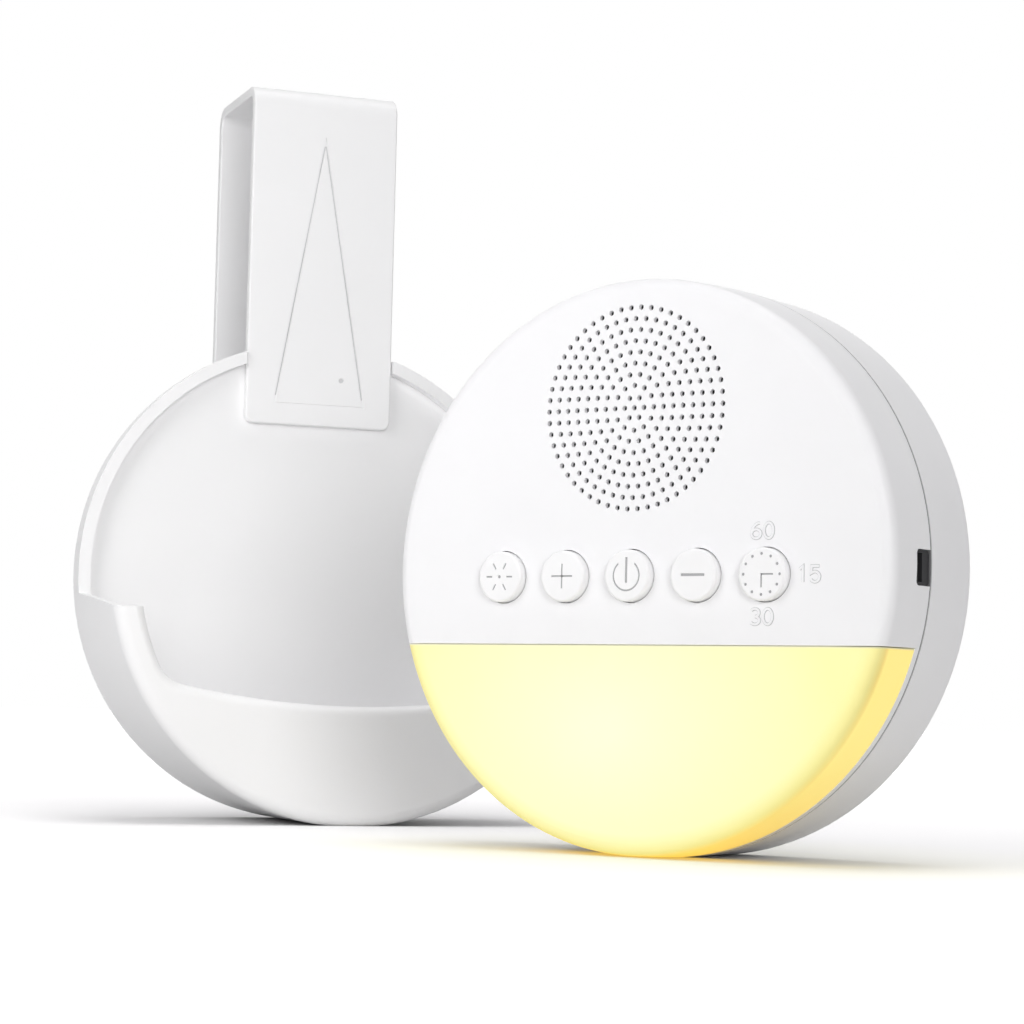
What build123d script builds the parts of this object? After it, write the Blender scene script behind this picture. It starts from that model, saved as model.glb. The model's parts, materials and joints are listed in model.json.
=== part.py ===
from build123d import *
import math
import os

# White noise sound machine and its hanging holder, in millimetres.
# Row frame: +Z up, the machine's face towards -Y, origin at the middle of the machine's flat base.
# "Depth" is measured from the front face towards the back, "height" from the axis upwards.

# ---------------------------------------------------------------- machine: driving dimensions
face_radius = 57.5          # front rim of the round shell
shell_flare = 0.7           # how much wider the side wall is from the seam to the back
machine_depth = 35.5
seam_depth = 15.0           # joint between the front shell and the rear housing
base_cut = 0.4              # how far the round wall is cut flat for the base
front_wall = 2.2
side_wall = 2.0
back_wall = 2.2
rim_fillet = 2.6
back_fillet = 4.0
seam_gap = 0.3
seam_chamfer = 0.25

light_line = -15.8          # height of the straight top edge of the night light
light_border = 2.2          # strip of the front shell left behind the night light
light_gap = 0.2             # joint round the night light
cut_margin = 1.0            # cutting blocks start this far in front of the face
length_tolerance = 0.01     # for picking edges by their length
ledge_width = 3.0           # inner ledge that the night light rests on
ledge_thickness = 1.4

grille_wall = 1.0           # thickness of the panel at the grille
grille_rings = 9
grille_pitch = 2.25         # from one ring of holes to the next
grille_hole = 1.1           # diameter of one hole

button_names = ["light", "plus", "power", "minus", "timer"]
button_spacing = 15.2
button_height = -2.2
button_diameter = 10.4
button_proud = 1.9
button_travel = 0.8
button_clearance = 0.2
button_edge = 0.6
flange_width = 1.1
flange_thickness = 1.0
stem_radius = 1.7
symbol_depth = 0.25
symbol_line = 0.34
bold_line = 0.52            # minus sign and bar of the power sign
light_symbol = [0.35, 2.45, 1.4]    # sun: disc radius, circle of the rays, ray length
plus_symbol = 5.0
minus_symbol = 5.3
power_symbol = [3.15, 3.65, 5.1, 1.1]       # ring radius, width of its gap, bar length, bar rise
timer_symbol = [3.95, 0.3, 2.4]     # clock: circle of the dots, dot radius, hand length

port_length = 7.0           # charging port, along the side wall
port_width = 6.0            # charging port, from the seam forwards
port_height = -0.5
port_corner = 1.0

# ---------------------------------------------------------------- machine: inner pieces
cloth_thickness = 0.2
gasket_thickness = 2.0
speaker_radius = 22.4
recess_clearance = 0.2      # round the gasket, in the recess behind the grille
speaker_margin = 1.7        # between the speaker and the shell's inside, at the top
speaker_opening = 19.0
flange_plate = 1.2
basket_depth = 9.8          # from the back of the flange to the front of the top plate
basket_wall = 1.0
top_plate_radius = 14.0
top_plate_thickness = 1.2
magnet_radius = 11.0
magnet_hole_radius = 6.5
magnet_thickness = 4.0
yoke_thickness = 2.0
yoke_chamfer = 0.4
pole_radius = 4.2
coil_gap = 0.3
coil_wall = 0.5
cone_thickness = 0.6
cone_room = 4.2             # between the cone's neck and the top plate
dust_cap_rise = 3.4
dust_cap_share = 0.35       # where the dust cap meets the cone, from its neck (0) to its edge (1)
surround_width = 3.6
surround_wall = 0.4
cone_travel = 0.5
window_radius = 3.4
window_depth = 10.1         # middle of the basket's windows
ear_angle = 14.0            # ears stand this far above and below the speaker's middle
ear_clearance = 0.3         # between the speaker's flange and its ears' posts
ear_radius = 2.3
ear_depth = 6.0

board_depth = 12.2          # front face of the circuit board
board_thickness = 1.4
board_left = 44.0
board_margin = 3.0          # between the board's right edge and the side wall
board_top = 7.0
board_bottom = 11.4         # below the axis
chip_columns = [12.0, -10.0, 44.0]
chip_sides = [9.0, 6.0, 5.0]
chip_row = -1.2             # height of the chips and capacitors
chip_thickness = 1.3
capacitor_columns = [-33.0, -40.0]
capacitor_radius = 2.5
capacitor_height = 5.2
switch_side = 6.0
switch_body = 3.4
plunger_stroke_room = 0.4
plunger_length = 3.0
plunger_clearance = 0.15
post_radius = 2.2
post_rise = 6.2             # posts stand this far above and below the button row
post_column = 1.5           # in button spacings, from the middle
socket_length = 5.0
socket_height = 2.6
socket_width = 6.3
socket_corner = 0.7
socket_wall = 0.35
socket_margin = 0.5
socket_tongue = 0.6         # thickness of the contact tongue
socket_tongue_width = 4.2
bezel_clearance = 0.15      # round the socket's bezel, in the charging port
bezel_length = 3.6
bezel_sink = 0.6            # below the side wall

boss_inset = 5.2            # from the side wall's inside to the bosses' axes
panel_screw_angles = [16.0, 58.0, 122.0, 164.0]
light_screw_angles = [-54.0, -126.0]
boss_radius = 3.1
boss_end = 14.0             # depth where the front bosses meet the rear columns
screw_seat = 19.0           # depth of the screw heads' seat in the rear columns
screw_radius = 1.05
screw_length = 10.0
screw_hole_clearance = 0.2
screw_head_radius = 2.1
screw_head_height = 1.6
counterbore_clearance = 0.5
small_screw_radius = 0.8
small_screw_length = 4.4
small_head_radius = 1.6
small_head_height = 1.0
pilot_clearance = 0.05
pilot_room = 1.0            # left ahead of a housing screw's tip
driver_slot = 0.5
driver_span = 1.3           # length of the cross slot, as a share of the head's radius

tray_depth = 10.4           # front face of the light tray
tray_wall = 1.2
tray_clearance = 1.9        # between the light tray and the bosses
tray_top = -20.0            # height of the tray's straight edge
tray_rim = 6.0              # how far its rim reaches forwards
led_board_thickness = 1.2
led_board_inset = 4.0       # from the tray's edge to the lamp board's
led_board_top = -23.0
led_count = 6
led_inset = 8.0             # from the lamp board's edge to the lamps
led_span = 84.0             # angle between the first and last lamp
led_width = 3.0
led_thickness = 0.8
led_window_clearance = 0.3
light_post_inset = 4.0      # from the lamp board's edge to its posts
light_post_angle = 16.8     # from straight down to each post

cell_length = 65.0
cell_height = -27.0
cell_front_clearance = 2.0  # to the lamp board, filled by foam at two places
cell_back_clearance = 0.1   # to the back wall
cell_fillet = 0.8
cell_cap_radius = 3.2
cell_cap_height = 1.0
saddle_x = 22.0
saddle_width = 2.4
saddle_clearance = 0.15
saddle_rise = 2.0           # how far the saddles reach in front of the cell's axis
foam_width = 10.0
foam_height = 8.0
wire_radius = 0.6
wire_bend = 2.4
ribbon_width = 8.0
ribbon_thickness = 0.3
ribbon_overlap = 4.0        # along each board
ribbon_slack = 1.0
lead_out = 5.0              # from the cell's end to its lead's upright run
lead_overlap = 3.5          # from the board's lower edge to the lead's joint
lug_spread = 3.0            # half the distance between the speaker's lugs
lug_lead_reach = 5.4        # behind the speaker's top plate
lug_lead_drop = 2.0         # from the board's upper edge to the lead's joint

# ---------------------------------------------------------------- holder: driving dimensions
holder_turn = 55.0          # the holder's face is turned from the machine's by this angle
holder_x = -112.0           # from the machine's face centre to the holder's
holder_y = 59.0
cradle_clearance = 0.4      # round the machine
cradle_wall = 2.0
cradle_play = 0.8           # in front of and behind the machine
lip_thickness = 3.0
plate_thickness = 3.6
cradle_fillet = 2.8
cradle_back_fillet = 1.0
cradle_base_cut = 0.4
plate_rim = 3.0             # thickness of the low rim round the back plate
plate_rim_height = 3.4
shoulder_front = -9.6       # height of the side wall's end at the front
shoulder_back = -5.4        # and at the low rim
lip_height = 7.0            # of the front lip beside the opening
apron_height = 28.8         # of the front below the opening's lowest point
opening_sag_radius = 210.0
opening_corner = 9.0
opening_edge = 2.2          # rounding of the opening's front edge

strap_width = 38.4
strap_thickness = 2.4
strap_reach = 35.5          # over both legs
strap_top = 126.5
strap_front_end = 39.5
strap_back_end = 24.0
strap_bend = 5.0
strap_corner = 2.0
strap_edge = 0.5            # rounding of the long edges
strap_clearance = 0.3       # beside the leg, where it crosses the low rim
mark_height = 70.0          # engraved triangle
mark_base = 24.4
mark_rise = 4.9             # from the leg's end to the triangle's base
mark_line = 0.6
mark_depth = 0.35
dot_radius = 0.7
dot_side = 5.8
dot_rise = 12.0
strap_screw_x = 11.0
strap_screw_height = 49.0
strap_pilot = 1.6           # how far the strap's screws reach into it

# ---------------------------------------------------------------- values that follow
shell_radius = face_radius + shell_flare
centre_height = shell_radius - base_cut
cap_radius = button_diameter / 2
flange_front = front_wall + button_clearance
flange_back = flange_front + flange_thickness
grille_height = face_radius - side_wall - speaker_margin - speaker_radius
ear_reach = speaker_radius + ear_clearance + ear_radius
switch_top = board_depth - switch_body
plunger_top = switch_top - button_travel - plunger_stroke_room
board_back = board_depth + board_thickness
cloth_back = grille_wall + cloth_thickness
gasket_back = cloth_back + gasket_thickness
flange_plate_back = gasket_back + flange_plate
top_plate_front = flange_plate_back + basket_depth
top_plate_back = top_plate_front + top_plate_thickness
magnet_back = top_plate_back + magnet_thickness
coil_inner = pole_radius + coil_gap
coil_outer = coil_inner + coil_wall
light_back = seam_depth - light_border
inner_radius = shell_radius - side_wall
screw_circle = inner_radius - boss_inset
board_right = inner_radius - board_margin
tray_radius = screw_circle - boss_radius - tray_clearance
led_board_radius = tray_radius - led_board_inset
led_circle = led_board_radius - led_inset
light_post_circle = led_board_radius - light_post_inset
tray_back = tray_depth + tray_wall
led_board_back = tray_back + led_board_thickness
cell_front = led_board_back + cell_front_clearance
cell_radius = (machine_depth - back_wall - cell_back_clearance - cell_front) / 2
cell_depth = cell_front + cell_radius
saddle_front = cell_depth - saddle_rise
saddle_length = machine_depth - back_wall - saddle_front
cradle_pocket_radius = shell_radius + cradle_clearance
cradle_radius = cradle_pocket_radius + cradle_wall
opening_radius = cradle_radius - lip_height
opening_bottom = apron_height - cradle_radius
strap_leg_front = lip_thickness + machine_depth + 2 * cradle_play
plate_front = strap_leg_front + strap_thickness
cradle_depth = plate_front + plate_thickness
holder_height = cradle_radius - cradle_base_cut

# ---------------------------------------------------------------- planes


def front_plane(x, y, z, turn):
    """Plane on a front face: local x to the right, local y up, local z towards the viewer."""
    across = math.radians(turn)
    return Plane(
        origin=(x, y, z),
        x_dir=(math.cos(across), math.sin(across), 0),
        z_dir=(math.sin(across), -math.cos(across), 0),
    )


def section_plane(front):
    """Plane that holds the axis of a front plane: local x is depth, local y is up."""
    return Plane(origin=front.origin, x_dir=-front.z_dir, z_dir=front.x_dir)


def plan_plane(front):
    """Level plane through the axis of a front plane: local x to the right, local y is depth."""
    return Plane(origin=front.origin, x_dir=front.x_dir, z_dir=(0, 0, 1))


def at_depth(front, depth):
    """The plane at a depth behind a front plane."""
    return front.offset(-depth)


face = front_plane(0, -machine_depth / 2, centre_height, 0)
section = section_plane(face)
machine_axis = Axis(face.origin, -face.z_dir)
holder = front_plane(holder_x, holder_y - machine_depth / 2, holder_height, holder_turn)
holder_section = section_plane(holder)
holder_axis = Axis(holder.origin, -holder.z_dir)
speaker_axis = Axis(face.origin + face.y_dir * grille_height, -face.z_dir)
speaker_section = Plane(origin=speaker_axis.position, x_dir=-face.z_dir, z_dir=face.x_dir)

button_places = [((index - 2) * button_spacing, button_height) for index in range(len(button_names))]
post_places = []
for side in (-1, 1):
    for rise in (-post_rise, post_rise):
        post_places.append((side * post_column * button_spacing, button_height + rise))


def polar_places(radius, angles):
    """Points on a circle, for a list of angles in degrees."""
    places = []
    for angle in angles:
        turn = math.radians(angle)
        places.append((radius * math.cos(turn), radius * math.sin(turn)))
    return places


panel_boss_places = polar_places(screw_circle, panel_screw_angles)
light_boss_places = polar_places(screw_circle, light_screw_angles)
ear_angles = [ear_angle, 180 - ear_angle, 180 + ear_angle, -ear_angle]
ear_places = []
for ear_x, ear_y in polar_places(ear_reach, ear_angles):
    ear_places.append((ear_x, ear_y + grille_height))
light_post_places = polar_places(light_post_circle, [-90 - light_post_angle, -90 + light_post_angle])
led_angles = [-90 + led_span * (index / (led_count - 1) - 0.5) for index in range(led_count)]
led_places = polar_places(led_circle, led_angles)
strap_screw_places = [(-strap_screw_x, strap_screw_height), (strap_screw_x, strap_screw_height)]


def edges_of_length(edges, length):
    """The edges that run through a sheet of this thickness."""
    return edges.filter_by(lambda edge: abs(edge.length - length) < length_tolerance)


def export(piece, name):
    """Label a finished piece and write its STEP file."""
    piece.part.label = name
    export_step(piece.part, f"parts/{name}.step")


os.makedirs("parts", exist_ok=True)

# ---------------------------------------------------------------- shell shared by panel and night light

light_cut_height = light_line - light_gap
machine_span = 4 * shell_radius     # side of the blocks that cut the machine

with BuildPart() as front_shell:
    with BuildSketch(section):
        with BuildLine():
            Polyline(
                (0, 0),
                (0, face_radius),
                (seam_depth - seam_gap, shell_radius),
                (seam_depth - seam_gap, inner_radius),
                (front_wall, face_radius - side_wall),
                (front_wall, 0),
                close=True,
            )
        make_face()
    revolve(axis=machine_axis)
    rim = front_shell.edges().filter_by(GeomType.CIRCLE).group_by(Axis.Y)[0]
    fillet(rim, rim_fillet)
    seam_edges = front_shell.edges().filter_by(GeomType.CIRCLE).group_by(Axis.Y)[-1]
    chamfer(seam_edges.sort_by(SortBy.RADIUS)[-1], seam_chamfer)

# ---------------------------------------------------------------- front panel

with BuildPart() as front_panel:
    add(front_shell.part)
    # room for the night light: everything below its line, in front of its rear edge
    with BuildSketch(face.offset(cut_margin)):
        with Locations((0, light_line)):
            Rectangle(machine_span, machine_span, align=(Align.CENTER, Align.MAX))
    extrude(amount=-(light_back + cut_margin), mode=Mode.SUBTRACT)
    # inner ledge behind the night light's top edge, as wide as the shell lets it
    with BuildSketch(at_depth(face, front_wall)):
        Circle(face_radius - side_wall)
        with Locations((0, light_line)):
            Rectangle(machine_span, 2 * ledge_width, mode=Mode.INTERSECT)
    extrude(amount=-ledge_thickness)
    # bosses for the housing screws, and posts for the board and the speaker
    with BuildSketch(at_depth(face, front_wall)):
        with Locations(*panel_boss_places):
            Circle(boss_radius)
    extrude(amount=-(boss_end - front_wall))
    with BuildSketch(at_depth(face, front_wall)):
        with Locations(*post_places):
            Circle(post_radius)
    extrude(amount=-(board_depth - front_wall))
    with BuildSketch(at_depth(face, front_wall)):
        with Locations(*ear_places):
            Circle(ear_radius)
    extrude(amount=-(ear_depth - front_wall))
    # screw pilots
    with BuildSketch(at_depth(face, boss_end)):
        with Locations(*panel_boss_places):
            Circle(screw_radius + pilot_clearance)
    extrude(amount=screw_length - (screw_seat - boss_end) + pilot_room, mode=Mode.SUBTRACT)
    with BuildSketch(at_depth(face, board_depth)):
        with Locations(*post_places):
            Circle(small_screw_radius + pilot_clearance)
    extrude(amount=small_screw_length, mode=Mode.SUBTRACT)
    with BuildSketch(at_depth(face, ear_depth)):
        with Locations(*ear_places):
            Circle(small_screw_radius + pilot_clearance)
    extrude(amount=ear_depth - front_wall, mode=Mode.SUBTRACT)
    # button holes
    with BuildSketch(face):
        with Locations(*button_places):
            Circle(cap_radius + button_clearance)
    extrude(amount=-front_wall, mode=Mode.SUBTRACT)
    # charging port, open to the seam
    port_plane = Plane(
        origin=face.origin + face.y_dir * port_height + face.x_dir * (inner_radius - socket_length),
        x_dir=-face.z_dir,
        z_dir=face.x_dir,
    )
    with BuildSketch(port_plane):
        with Locations((seam_depth, 0)):
            RectangleRounded(2 * port_width, port_length, port_corner)
    extrude(amount=machine_span, mode=Mode.SUBTRACT)
    # flat base
    with BuildSketch(Plane.XY):
        Rectangle(machine_span, machine_span)
    extrude(amount=-machine_span, mode=Mode.SUBTRACT)
    # recess for the loudspeaker's gasket and cloth
    with BuildSketch(at_depth(face, front_wall)):
        with Locations((0, grille_height)):
            Circle(speaker_radius + recess_clearance)
    extrude(amount=front_wall - grille_wall, mode=Mode.SUBTRACT)
    # grille: one hole in the middle and rings of six more each time
    with BuildSketch(face):
        with Locations((0, grille_height)):
            Circle(grille_hole / 2)
            for ring in range(1, grille_rings + 1):
                with PolarLocations(ring * grille_pitch, 6 * ring):
                    Circle(grille_hole / 2)
    extrude(amount=-grille_wall, mode=Mode.SUBTRACT)
export(front_panel, "front_panel")

# ---------------------------------------------------------------- night light diffuser

with BuildPart() as night_light_diffuser:
    add(front_shell.part)
    with BuildSketch(face.offset(cut_margin)):
        with Locations((0, light_cut_height)):
            Rectangle(machine_span, machine_span, align=(Align.CENTER, Align.MAX))
    extrude(amount=-(light_back - light_gap + cut_margin), mode=Mode.INTERSECT)
    with BuildSketch(at_depth(face, front_wall)):
        with Locations(*light_boss_places):
            Circle(boss_radius)
    extrude(amount=-(boss_end - front_wall))
    with BuildSketch(at_depth(face, front_wall)):
        with Locations(*light_post_places):
            Circle(post_radius)
    extrude(amount=-(tray_depth - front_wall))
    with BuildSketch(at_depth(face, boss_end)):
        with Locations(*light_boss_places):
            Circle(screw_radius + pilot_clearance)
    extrude(amount=screw_length - (screw_seat - boss_end) + pilot_room, mode=Mode.SUBTRACT)
    with BuildSketch(at_depth(face, tray_depth)):
        with Locations(*light_post_places):
            Circle(small_screw_radius + pilot_clearance)
    extrude(amount=small_screw_length, mode=Mode.SUBTRACT)
    with BuildSketch(Plane.XY):
        Rectangle(machine_span, machine_span)
    extrude(amount=-machine_span, mode=Mode.SUBTRACT)
export(night_light_diffuser, "night_light_diffuser")

# ---------------------------------------------------------------- rear housing

with BuildPart() as rear_housing:
    with BuildSketch(section):
        with BuildLine():
            Polyline(
                (seam_depth, inner_radius),
                (seam_depth, shell_radius),
                (machine_depth, shell_radius),
                (machine_depth, 0),
                (machine_depth - back_wall, 0),
                (machine_depth - back_wall, inner_radius),
                close=True,
            )
        make_face()
    revolve(axis=machine_axis)
    back_edge = rear_housing.edges().filter_by(GeomType.CIRCLE).group_by(Axis.Y)[-1]
    fillet(back_edge, back_fillet)
    inner_edge = rear_housing.edges().filter_by(GeomType.CIRCLE).group_by(Axis.Y)[-3]
    fillet(inner_edge.sort_by(SortBy.RADIUS)[-1], back_fillet - back_wall)
    front_edges = rear_housing.edges().filter_by(GeomType.CIRCLE).group_by(Axis.Y)[0]
    chamfer(front_edges.sort_by(SortBy.RADIUS)[-1], seam_chamfer)
    # columns for the housing screws
    with BuildSketch(at_depth(face, boss_end)):
        with Locations(*panel_boss_places, *light_boss_places):
            Circle(boss_radius)
    extrude(amount=-(machine_depth - back_wall - boss_end))
    # saddles that carry the cell
    with BuildSketch(plan_plane(face).offset(cell_height)):
        with Locations((-saddle_x, saddle_front), (saddle_x, saddle_front)):
            Rectangle(saddle_width, saddle_length, align=(Align.CENTER, Align.MIN))
    extrude(amount=cell_radius + saddle_width, both=True)
    with BuildSketch(section):
        with Locations((cell_depth, cell_height)):
            Circle(cell_radius + saddle_clearance)
    extrude(amount=saddle_x + saddle_width, both=True, mode=Mode.SUBTRACT)
    # screw holes and the heads' counterbores
    with BuildSketch(at_depth(face, boss_end)):
        with Locations(*panel_boss_places, *light_boss_places):
            Circle(screw_radius + screw_hole_clearance)
    extrude(amount=-(screw_seat - boss_end), mode=Mode.SUBTRACT)
    with BuildSketch(at_depth(face, screw_seat)):
        with Locations(*panel_boss_places, *light_boss_places):
            Circle(screw_head_radius + counterbore_clearance)
    extrude(amount=-(machine_depth - screw_seat), mode=Mode.SUBTRACT)
    # flat base
    with BuildSketch(Plane.XY):
        Rectangle(machine_span, machine_span)
    extrude(amount=-machine_span, mode=Mode.SUBTRACT)
export(rear_housing, "rear_housing")

# ---------------------------------------------------------------- buttons and switch plungers


def cut_light_symbol():
    """Sun: a small disc with six rays."""
    disc, ray_circle, ray_length = light_symbol
    Circle(disc)
    with PolarLocations(ray_circle, 6):
        Rectangle(ray_length, symbol_line)


def cut_plus_symbol():
    """Plus sign."""
    Rectangle(plus_symbol, symbol_line)
    Rectangle(symbol_line, plus_symbol)


def cut_power_symbol():
    """Ring open at the top, with a bar."""
    ring, gap, bar_length, bar_rise = power_symbol
    Circle(ring)
    Circle(ring - symbol_line, mode=Mode.SUBTRACT)
    with Locations((0, ring)):
        Rectangle(gap, ring, mode=Mode.SUBTRACT)
    with Locations((0, bar_rise)):
        Rectangle(bold_line, bar_length)


def cut_minus_symbol():
    """Minus sign."""
    Rectangle(minus_symbol, bold_line)


def cut_timer_symbol():
    """Clock: twelve dots round two hands."""
    dot_circle, dot, hand = timer_symbol
    with PolarLocations(dot_circle, 12):
        Circle(dot)
    with Locations((hand / 2, 0)):
        Rectangle(hand + symbol_line, symbol_line)
    with Locations((0, -hand / 2)):
        Rectangle(symbol_line, hand + symbol_line)


symbols = {
    "light": cut_light_symbol,
    "plus": cut_plus_symbol,
    "power": cut_power_symbol,
    "minus": cut_minus_symbol,
    "timer": cut_timer_symbol,
}

for button_name, button_place in zip(button_names, button_places):
    with BuildPart() as button:
        with BuildSketch(face.offset(button_proud)):
            with Locations(button_place):
                Circle(cap_radius)
        extrude(amount=-(button_proud + flange_back))
        fillet(button.edges().group_by(Axis.Y)[0], button_edge)
        with BuildSketch(at_depth(face, flange_front)):
            with Locations(button_place):
                Circle(cap_radius + flange_width)
        extrude(amount=-flange_thickness)
        with BuildSketch(at_depth(face, flange_back)):
            with Locations(button_place):
                Circle(stem_radius)
        extrude(amount=-(plunger_top - flange_back))
        with BuildSketch(face.offset(button_proud)):
            with Locations(button_place):
                symbols[button_name]()
        extrude(amount=-symbol_depth, mode=Mode.SUBTRACT)
    export(button, f"{button_name}_button")

    with BuildPart() as plunger:
        with BuildSketch(at_depth(face, plunger_top)):
            with Locations(button_place):
                Circle(stem_radius)
        extrude(amount=-plunger_length)
    export(plunger, f"{button_name}_switch_plunger")

with BuildPart() as tactile_switches:
    with BuildSketch(at_depth(face, switch_top)):
        with Locations(*button_places):
            Rectangle(switch_side, switch_side)
    extrude(amount=-switch_body)
    with BuildSketch(at_depth(face, switch_top)):
        with Locations(*button_places):
            Circle(stem_radius + plunger_clearance)
    extrude(amount=-(plunger_top + plunger_length + button_travel + plunger_clearance - switch_top),
            mode=Mode.SUBTRACT)
export(tactile_switches, "tactile_switches")

# ---------------------------------------------------------------- main board, its chips and the socket

with BuildPart() as main_board:
    with BuildSketch(at_depth(face, board_depth)):
        with Locations(((board_right - board_left) / 2, (board_top - board_bottom) / 2)):
            Rectangle(board_left + board_right, board_top + board_bottom)
        with Locations(*post_places):
            Circle(small_screw_radius + screw_hole_clearance, mode=Mode.SUBTRACT)
    extrude(amount=-board_thickness)
export(main_board, "main_board")

with BuildPart() as board_chips:
    with BuildSketch(at_depth(face, board_back)):
        for chip_x, chip_side in zip(chip_columns, chip_sides):
            with Locations((chip_x, chip_row)):
                Rectangle(chip_side, chip_side)
    extrude(amount=-chip_thickness)
    with BuildSketch(at_depth(face, board_back)):
        for capacitor_x in capacitor_columns:
            with Locations((capacitor_x, chip_row)):
                Circle(capacitor_radius)
    extrude(amount=-capacitor_height)
export(board_chips, "board_chips")

with BuildPart() as usb_socket:
    socket_x = inner_radius - socket_margin - socket_length
    socket_plane = Plane(
        origin=face.origin + face.y_dir * port_height + face.x_dir * socket_x,
        x_dir=-face.z_dir,
        z_dir=face.x_dir,
    )
    with BuildSketch(socket_plane):
        with Locations((board_depth - socket_height / 2, 0)):
            RectangleRounded(socket_height, socket_width, socket_corner)
    extrude(amount=socket_length)
    # bezel that fills the charging port
    bezel_reach = shell_radius - bezel_sink - socket_x
    with BuildSketch(socket_plane.offset(bezel_reach)):
        with Locations((seam_depth - port_width / 2, 0)):
            RectangleRounded(
                port_width - 2 * bezel_clearance,
                port_length - 2 * bezel_clearance,
                port_corner - bezel_clearance,
            )
    extrude(amount=-bezel_length)
    with BuildSketch(socket_plane.offset(bezel_reach)):
        with Locations((board_depth - socket_height / 2, 0)):
            Rectangle(socket_height - 2 * socket_wall, socket_width - 2 * socket_wall)
    extrude(amount=-(bezel_reach - socket_wall), mode=Mode.SUBTRACT)
    with BuildSketch(socket_plane):
        with Locations((board_depth - socket_height / 2, 0)):
            Rectangle(socket_tongue, socket_tongue_width)
    extrude(amount=socket_length - socket_tongue)
export(usb_socket, "usb_socket")

# ---------------------------------------------------------------- loudspeaker

with BuildPart() as grille_cloth:
    with BuildSketch(at_depth(face, grille_wall)):
        with Locations((0, grille_height)):
            Circle(speaker_radius)
    extrude(amount=-cloth_thickness)
export(grille_cloth, "grille_cloth")

with BuildPart() as speaker_gasket:
    with BuildSketch(at_depth(face, cloth_back)):
        with Locations((0, grille_height)):
            Circle(speaker_radius)
            Circle(speaker_opening, mode=Mode.SUBTRACT)
    extrude(amount=-gasket_thickness)
export(speaker_gasket, "speaker_gasket")

basket_front_radius = speaker_opening + basket_wall
with BuildPart() as speaker_frame:
    with BuildSketch(speaker_section):
        with BuildLine():
            Polyline(
                (gasket_back, speaker_opening),
                (gasket_back, speaker_radius),
                (flange_plate_back, speaker_radius),
                (flange_plate_back, basket_front_radius),
                (top_plate_front, top_plate_radius),
                (top_plate_back, top_plate_radius),
                (top_plate_back, coil_outer + coil_gap),
                (top_plate_front, coil_outer + coil_gap),
                (top_plate_front, top_plate_radius - basket_wall),
                (flange_plate_back, speaker_opening),
                close=True,
            )
        make_face()
    revolve(axis=speaker_axis)
    # ears for the speaker's screws
    with BuildSketch(at_depth(face, ear_depth)):
        for ear_turn, ear_place in zip(ear_angles, ear_places):
            with Locations(ear_place):
                Circle(ear_radius)
            with Locations(Location((0, grille_height), ear_turn)):
                Rectangle(ear_reach, 2 * ear_radius, align=(Align.MIN, Align.CENTER))
        with Locations((0, grille_height)):
            Circle(speaker_opening - basket_wall, mode=Mode.SUBTRACT)
        with Locations(*ear_places):
            Circle(small_screw_radius + screw_hole_clearance, mode=Mode.SUBTRACT)
    extrude(amount=-flange_plate)
    # windows in the basket, between the ears
    window_plane = Plane(
        origin=speaker_axis.position - face.z_dir * window_depth,
        x_dir=face.x_dir,
        z_dir=face.y_dir,
    )
    with BuildSketch(window_plane):
        Circle(window_radius)
    extrude(amount=speaker_radius, both=True, mode=Mode.SUBTRACT)
export(speaker_frame, "speaker_frame")

with BuildPart() as speaker_magnet:
    with BuildSketch(at_depth(face, top_plate_back)):
        with Locations((0, grille_height)):
            Circle(magnet_radius)
            Circle(magnet_hole_radius, mode=Mode.SUBTRACT)
    extrude(amount=-magnet_thickness)
export(speaker_magnet, "speaker_magnet")

with BuildPart() as speaker_yoke:
    with BuildSketch(at_depth(face, magnet_back)):
        with Locations((0, grille_height)):
            Circle(magnet_radius)
    extrude(amount=-yoke_thickness)
    with BuildSketch(at_depth(face, magnet_back)):
        with Locations((0, grille_height)):
            Circle(pole_radius)
    extrude(amount=magnet_back - top_plate_front)
    chamfer(speaker_yoke.edges().group_by(Axis.Y)[-1], yoke_chamfer)
export(speaker_yoke, "speaker_yoke")

surround_inner = speaker_opening - surround_width
surround_middle = (surround_inner + speaker_opening - coil_gap) / 2
surround_radius = (speaker_opening - coil_gap - surround_inner) / 2
with BuildPart() as speaker_surround:
    with BuildSketch(speaker_section):
        with Locations((flange_plate_back, surround_middle)):
            Circle(surround_radius)
            Circle(surround_radius - surround_wall, mode=Mode.SUBTRACT)
            Rectangle(2 * surround_radius, 2 * surround_radius, align=(Align.MIN, Align.CENTER),
                      mode=Mode.SUBTRACT)
    revolve(axis=speaker_axis)
export(speaker_surround, "speaker_surround")

# the cone's front runs in a straight line from the voice coil to the surround
cone_edge_radius = surround_inner - coil_gap
cone_back = top_plate_front - cone_room
cone_depth = cone_back - flange_plate_back


def cone_front(share):
    """A point of the cone's front, from the voice coil (0) to the surround (1)."""
    return (cone_back - share * cone_depth, coil_inner + share * (cone_edge_radius - coil_inner))


def dome_middle(foot, top):
    """Middle point of an arc from a dome's foot to its top, centred on the speaker's axis."""
    rise = foot[0] - top
    radius = (rise ** 2 + foot[1] ** 2) / (2 * rise)
    half_angle = math.asin(foot[1] / radius) / 2
    return (top + radius * (1 - math.cos(half_angle)), radius * math.sin(half_angle))


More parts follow.
